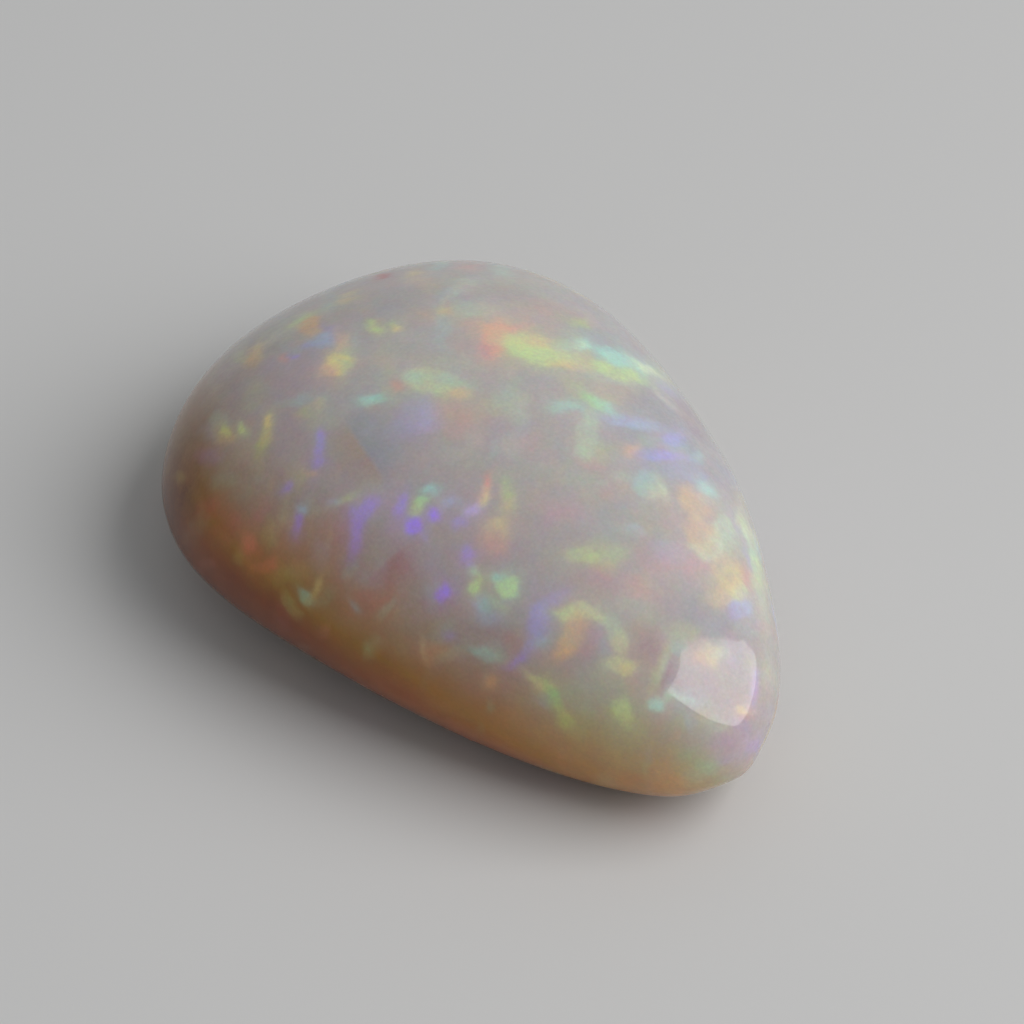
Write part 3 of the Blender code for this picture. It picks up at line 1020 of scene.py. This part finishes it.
def add_fire(tree, place, body):
    """Lays the play of colour over the body, with a fine mottle that breaks up its edges.

    The silica that flashes is milky, so a flash also lightens the painted amber shade under it a
    little.
    """
    fire = new_node(tree, "ShaderNodeAttribute", attribute_name="fire")
    mottle = new_node(
        tree,
        "ShaderNodeTexNoise",
        {"Vector": place},
        Scale=1 / MOTTLE_SIZE,
        Detail=2.0,
        Roughness=0.6,
    )
    breakup = new_node(
        tree,
        "ShaderNodeMapRange",
        {"Value": mottle.outputs["Fac"]},
        To_Min=1 - MOTTLE_STRENGTH,
        To_Max=1 + MOTTLE_STRENGTH,
    )
    cover = new_node(
        tree,
        "ShaderNodeMath",
        {0: fire.outputs["Alpha"], 1: breakup.outputs["Result"]},
        operation="MULTIPLY",
        use_clamp=True,
    )
    milky = new_node(tree, "ShaderNodeMix", {MIX_FIRST: body}, data_type="RGBA")
    milky.inputs[MIX_SHARE].default_value = FIRE_MILK
    milky.inputs[MIX_LAST].default_value = linear(MILKY_BODY)
    coloured = new_node(
        tree,
        "ShaderNodeVectorMath",
        {0: milky.outputs[MIX_RESULT], 1: fire.outputs["Color"]},
        operation="MULTIPLY",
    )
    fired = new_node(
        tree,
        "ShaderNodeMix",
        {MIX_SHARE: cover.outputs[0], MIX_FIRST: body, MIX_LAST: coloured.outputs["Vector"]},
        data_type="RGBA",
    )
    return fired.outputs[MIX_RESULT]


def add_polish(tree, place, surface):
    """The slight waves and the uneven gloss of a hand polish."""
    gloss = new_node(tree, "ShaderNodeTexNoise", {"Vector": place}, Scale=1 / GLOSS_SIZE, Detail=3.0)
    roughness = new_node(
        tree,
        "ShaderNodeMapRange",
        {"Value": gloss.outputs["Fac"]},
        From_Min=NOISE_LOW,
        From_Max=NOISE_HIGH,
        To_Min=LOWEST_ROUGHNESS,
        To_Max=HIGHEST_ROUGHNESS,
    )
    wave = new_node(tree, "ShaderNodeTexNoise", {"Vector": place}, Scale=1 / WAVE_SIZE, Detail=1.0)
    bump = new_node(tree, "ShaderNodeBump", {"Height": wave.outputs["Fac"]}, Distance=WAVE_DEPTH)
    tree.links.new(roughness.outputs["Result"], surface.inputs["Roughness"])
    tree.links.new(bump.outputs["Normal"], surface.inputs["Normal"])


def opal_material():
    """Precious opal, polished: milky and slightly see-through, with play of colour.

    Light sinks into the milk and softens it, and the polish mirrors the window with edges
    that are nearly sharp.
    """
    material = bpy.data.materials.new("polished_precious_opal")
    material.use_nodes = True
    tree = material.node_tree
    surface = tree.nodes["Principled BSDF"]
    place = new_node(tree, "ShaderNodeTexCoord").outputs["Object"]
    # The body colour carries the painted amber shade of the low side and the wide end
    body = add_body_and_shade_colour(tree, place)
    for size, strength in CLOUDS:
        body = add_clouds(tree, place, body, size, strength)
    body = add_grain(tree, place, body, GRAIN_SIZE, GRAIN_STRENGTH)
    tree.links.new(add_fire(tree, place, body), surface.inputs["Base Color"])
    add_polish(tree, place, surface)
    surface.inputs["IOR"].default_value = OPAL_IOR
    surface.inputs["Subsurface Weight"].default_value = 1.0
    surface.inputs["Subsurface Radius"].default_value = MILK_DEPTH_SHARES
    surface.inputs["Subsurface Scale"].default_value = MILK_DEPTH
    return material


class OPAL_OT_model_stone(bpy.types.Operator):
    """Model the polished stone and finish its surface"""

    bl_idname = "opal.model_stone"
    bl_label = "Polished opal"

    def execute(self, context):
        mesh, points = make_stone_mesh(context.scene.opal_shape)
        stone = add_object("polished_opal", mesh)
        paint_fire(mesh, points)
        mesh.materials.append(opal_material())
        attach(stone, "root")
        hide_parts("opal")
        return {"FINISHED"}


# The stage: a plain floor, one window on the right and the even light of the room
FLOOR_SIZE = 4.0
FLOOR_ROUGHNESS = 0.9
FLOOR_SHEEN = 0.1
ROOM_LIGHT_COLOUR = (0.9, 0.95, 1.0, 1.0)
# The window: how far and which way it stands from the spot that mirrors it
WINDOW_DISTANCE = 0.4
WINDOW_AIM = np.array((13.2, -1.2, 7.1)) * MM
WINDOW_AZIMUTH = 35.4
WINDOW_ELEVATION = 45.4
# Corners of the window, right and up of its middle as the stone sees it, as shares of its distance
WINDOW_CORNERS = (
    (0.0, 0.12),
    (0.15, -0.011),
    (0.23, -0.105),
    (0.33, -0.195),
    (0.4, -0.3),
    (0.55, -0.5),
    (-0.17, -0.58),
    (-0.8, 0.34),
)
# How bright the window lights the stone, against how bright it shows in the polish
WINDOW_LIGHT_SHARE = 0.75
WINDOW_LIGHT_COLOUR = (1.0, 1.0, 1.03)
WINDOW_LIGHT_SIZE = 0.36
# Focal length in millimetres, nearest and farthest distance shown, and how far the camera
# stands to the right of the face's middle and above it
LENS = 274.9
NEAREST = 0.01
FARTHEST = 10
CAMERA_RIGHT = 0.358 * MM
CAMERA_UP = 0.153 * MM


def make_window(radiance):
    """The window as the polish mirrors it: a bright card that lights nothing else."""
    right, up, towards = axes_facing(WINDOW_AZIMUTH, WINDOW_ELEVATION)
    shape = bmesh.new()
    corners = []
    for share_right, share_up in WINDOW_CORNERS:
        offset = towards + share_right * right + share_up * up
        corners.append(shape.verts.new(WINDOW_AIM + WINDOW_DISTANCE * offset))
    shape.faces.new(corners)
    mesh = mesh_from(shape, "window_card")
    card = add_object("window_card", mesh)
    material = bpy.data.materials.new("window_light")
    material.use_nodes = True
    tree = material.node_tree
    tree.nodes.clear()
    light = new_node(tree, "ShaderNodeEmission", Strength=radiance)
    new_node(tree, "ShaderNodeOutputMaterial", {"Surface": light.outputs[0]})
    mesh.materials.append(material)
    card.visible_camera = False
    card.visible_diffuse = False
    card.visible_shadow = False
    card.visible_transmission = False


def make_key_light(radiance):
    """The light that comes in through the window, without a highlight of its own."""
    towards = facing(WINDOW_AZIMUTH, WINDOW_ELEVATION)
    light = bpy.data.lights.new("window_glow", "AREA")
    light.shape = "SQUARE"
    light.size = WINDOW_LIGHT_SIZE
    light.energy = WINDOW_LIGHT_SHARE * radiance * math.pi * light.size ** 2
    light.color = WINDOW_LIGHT_COLOUR
    lamp = add_object("window_glow", light)
    lamp.location = WINDOW_AIM + WINDOW_DISTANCE * towards
    lamp.rotation_euler = Vector(towards).to_track_quat("Z", "Y").to_euler()
    lamp.visible_glossy = False
    lamp.visible_camera = False


def make_floor(colour):
    """A plain floor of matte paint, which shows only a faint sheen."""
    shape = bmesh.new()
    bmesh.ops.create_grid(shape, x_segments=1, y_segments=1, size=FLOOR_SIZE / 2)
    mesh = mesh_from(shape, "floor")
    floor = add_object("floor", mesh)
    material = bpy.data.materials.new("matte_paint")
    material.use_nodes = True
    surface = material.node_tree.nodes["Principled BSDF"]
    surface.inputs["Base Color"].default_value = colour
    surface.inputs["Roughness"].default_value = FLOOR_ROUGHNESS
    surface.inputs["Specular IOR Level"].default_value = FLOOR_SHEEN
    mesh.materials.append(material)


def make_camera():
    """The camera that sees the stone's face."""
    right, up, towards_eye = face_axes()
    camera_data = bpy.data.cameras.new("display_camera")
    camera_data.lens = LENS
    camera_data.clip_start = NEAREST
    camera_data.clip_end = FARTHEST
    camera = add_object("display_camera", camera_data)
    eye = FACE_CENTRE + EYE_DISTANCE * towards_eye + CAMERA_RIGHT * right + CAMERA_UP * up
    turn = Matrix((right, up, towards_eye)).transposed().to_4x4()
    camera.matrix_world = Matrix.Translation(eye) @ turn
    bpy.context.scene.camera = camera


def make_room_light(strength):
    """The even light of the room, slightly blue."""
    world = bpy.data.worlds.new("room_light")
    world.use_nodes = True
    background = world.node_tree.nodes["Background"]
    background.inputs["Color"].default_value = ROOM_LIGHT_COLOUR
    background.inputs["Strength"].default_value = strength
    bpy.context.scene.world = world


class OPAL_OT_set_stage(bpy.types.Operator):
    """Set the floor, the light and the camera around the stone"""

    bl_idname = "opal.set_stage"
    bl_label = "Stage"

    def execute(self, context):
        settings = context.scene.opal_stage
        make_camera()
        make_floor(settings.floor_colour)
        make_window(settings.window_radiance)
        make_key_light(settings.window_radiance)
        make_room_light(settings.sky_strength)
        context.scene.view_settings.view_transform = "Standard"
        context.scene.view_settings.look = "None"
        return {"FINISHED"}


class OPAL_PT_panel(bpy.types.Panel):
    """Lists the stone's settings and its steps"""

    bl_label = "Polished opal"
    bl_idname = "OPAL_PT_panel"
    bl_space_type = "VIEW_3D"
    bl_region_type = "UI"
    bl_category = "Opal"

    def draw(self, context):
        layout = self.layout
        for settings in (context.scene.opal_shape, context.scene.opal_stage):
            box = layout.box()
            for name in settings.__annotations__:
                box.prop(settings, name)
        for operator in (OPAL_OT_model_stone, OPAL_OT_set_stage):
            layout.operator(operator.bl_idname)


CLASSES = (
    OpalShapeSettings,
    OpalStageSettings,
    OPAL_OT_model_stone,
    OPAL_OT_set_stage,
    OPAL_PT_panel,
)


def register():
    """Adds the settings, the steps and the panel."""
    for cls in CLASSES:
        bpy.utils.register_class(cls)
    bpy.types.Scene.opal_shape = bpy.props.PointerProperty(type=OpalShapeSettings)
    bpy.types.Scene.opal_stage = bpy.props.PointerProperty(type=OpalStageSettings)


def unregister():
    """Takes the panel, the steps and the settings away again."""
    del bpy.types.Scene.opal_stage
    del bpy.types.Scene.opal_shape
    for cls in reversed(CLASSES):
        bpy.utils.unregister_class(cls)


def main():
    """Makes the stone and its stage."""
    register()
    bpy.ops.opal.model_stone()
    bpy.ops.opal.set_stage()


if __name__ == "__main__":
    main()
